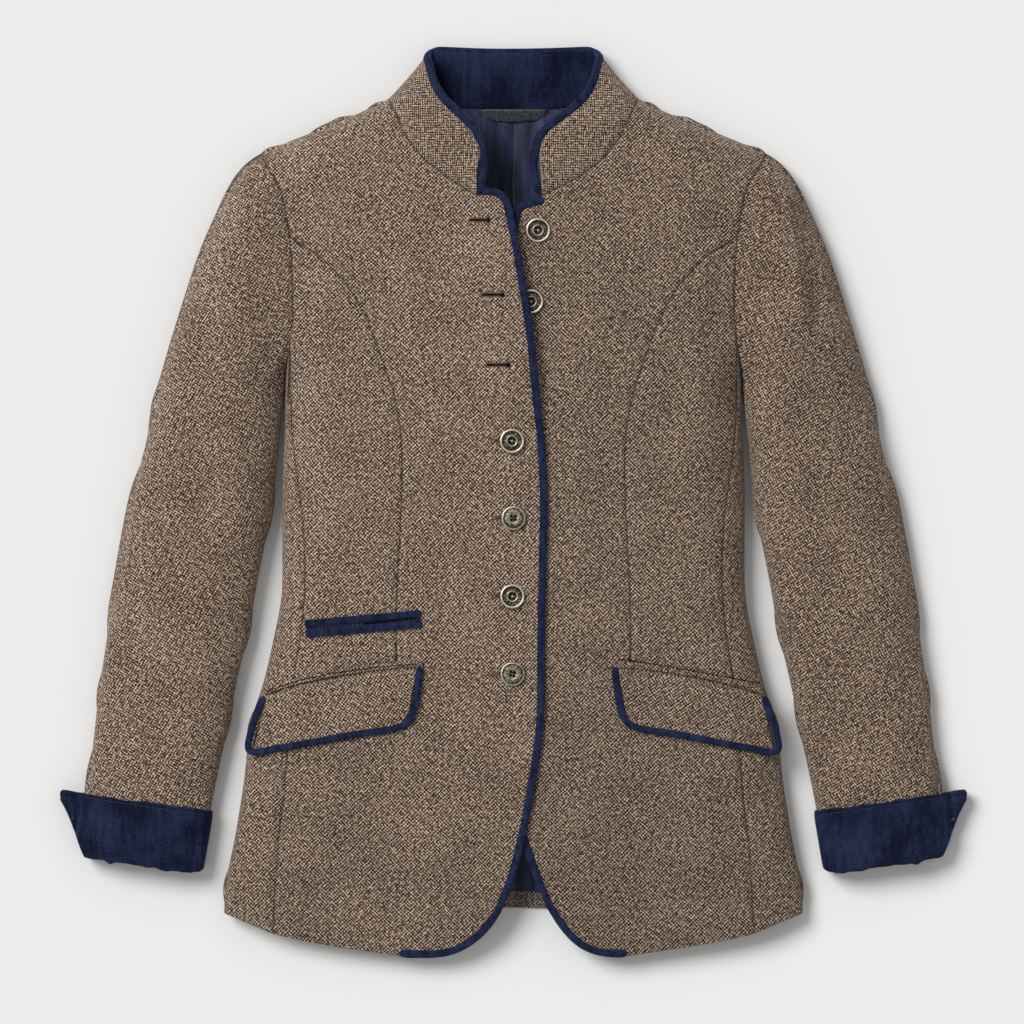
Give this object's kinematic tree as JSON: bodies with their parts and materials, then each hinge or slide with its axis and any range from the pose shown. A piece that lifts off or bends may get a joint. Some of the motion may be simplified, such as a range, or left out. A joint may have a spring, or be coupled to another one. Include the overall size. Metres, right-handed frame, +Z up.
{
  "type": "tweed blazer",
  "caption": "Hip-length fitted tweed jacket with a stand collar, velvet edge binding, turned-up velvet cuffs, hip flaps and a ticket pocket, laid flat with its upper buttons open.",
  "frame": {"origin": "centre of the bounding box on the surface it lies on", "axes": "+Z up from the surface, +Y toward the collar, +X toward the wearer's left sleeve"},
  "size_m": [0.7484, 0.7471, 0.0525],
  "materials": {
    "front_right": "salt-and-pepper wool tweed",
    "front_left": "salt-and-pepper wool tweed",
    "side_front_right": "salt-and-pepper wool tweed",
    "side_front_left": "salt-and-pepper wool tweed",
    "side_panel_right": "salt-and-pepper wool tweed",
    "side_panel_left": "salt-and-pepper wool tweed",
    "back_right": "salt-and-pepper wool tweed",
    "back_left": "salt-and-pepper wool tweed",
    "top_sleeve_right": "salt-and-pepper wool tweed",
    "top_sleeve_left": "salt-and-pepper wool tweed",
    "under_sleeve_right": "salt-and-pepper wool tweed",
    "under_sleeve_left": "salt-and-pepper wool tweed",
    "cuff_right": "cotton velvet",
    "cuff_left": "cotton velvet",
    "collar": "salt-and-pepper wool tweed",
    "collar_facing": "cotton velvet",
    "collar_binding": "cotton velvet",
    "front_binding_right": "cotton velvet",
    "front_binding_left": "cotton velvet",
    "flap_right": "salt-and-pepper wool tweed",
    "flap_left": "salt-and-pepper wool tweed",
    "flap_binding_right": "cotton velvet",
    "flap_binding_left": "cotton velvet",
    "flap_jet_right": "salt-and-pepper wool tweed",
    "flap_jet_left": "salt-and-pepper wool tweed",
    "ticket_welt_upper": "cotton velvet",
    "ticket_welt_lower": "cotton velvet",
    "lining_right": "satin lining",
    "lining_left": "satin lining",
    "hanging_loop": "salt-and-pepper wool tweed",
    "button_1_open": "antiqued metal",
    "button_2_open": "antiqued metal",
    "button_3_open": "antiqued metal",
    "button_4": "antiqued metal",
    "button_5": "antiqued metal",
    "button_6": "antiqued metal",
    "button_7": "antiqued metal"
  },
  "bodies": {
    "root": {"front_right": "front_right", "front_left": "front_left", "side_front_right": "side_front_right", "side_front_left": "side_front_left", "side_panel_right": "side_panel_right", "side_panel_left": "side_panel_left", "back_right": "back_right", "back_left": "back_left", "top_sleeve_right": "top_sleeve_right", "top_sleeve_left": "top_sleeve_left", "under_sleeve_right": "under_sleeve_right", "under_sleeve_left": "under_sleeve_left", "cuff_right": "cuff_right", "cuff_left": "cuff_left", "collar": "collar", "collar_facing": "collar_facing", "collar_binding": "collar_binding", "front_binding_right": "front_binding_right", "front_binding_left": "front_binding_left", "flap_right": "flap_right", "flap_left": "flap_left", "flap_binding_right": "flap_binding_right", "flap_binding_left": "flap_binding_left", "flap_jet_right": "flap_jet_right", "flap_jet_left": "flap_jet_left", "ticket_welt_upper": "ticket_welt_upper", "ticket_welt_lower": "ticket_welt_lower", "lining_right": "lining_right", "lining_left": "lining_left", "hanging_loop": "hanging_loop", "button_1_open": "button_1_open", "button_2_open": "button_2_open", "button_3_open": "button_3_open", "button_4": "button_4", "button_5": "button_5", "button_6": "button_6", "button_7": "button_7"}
  },
  "joints": []
}
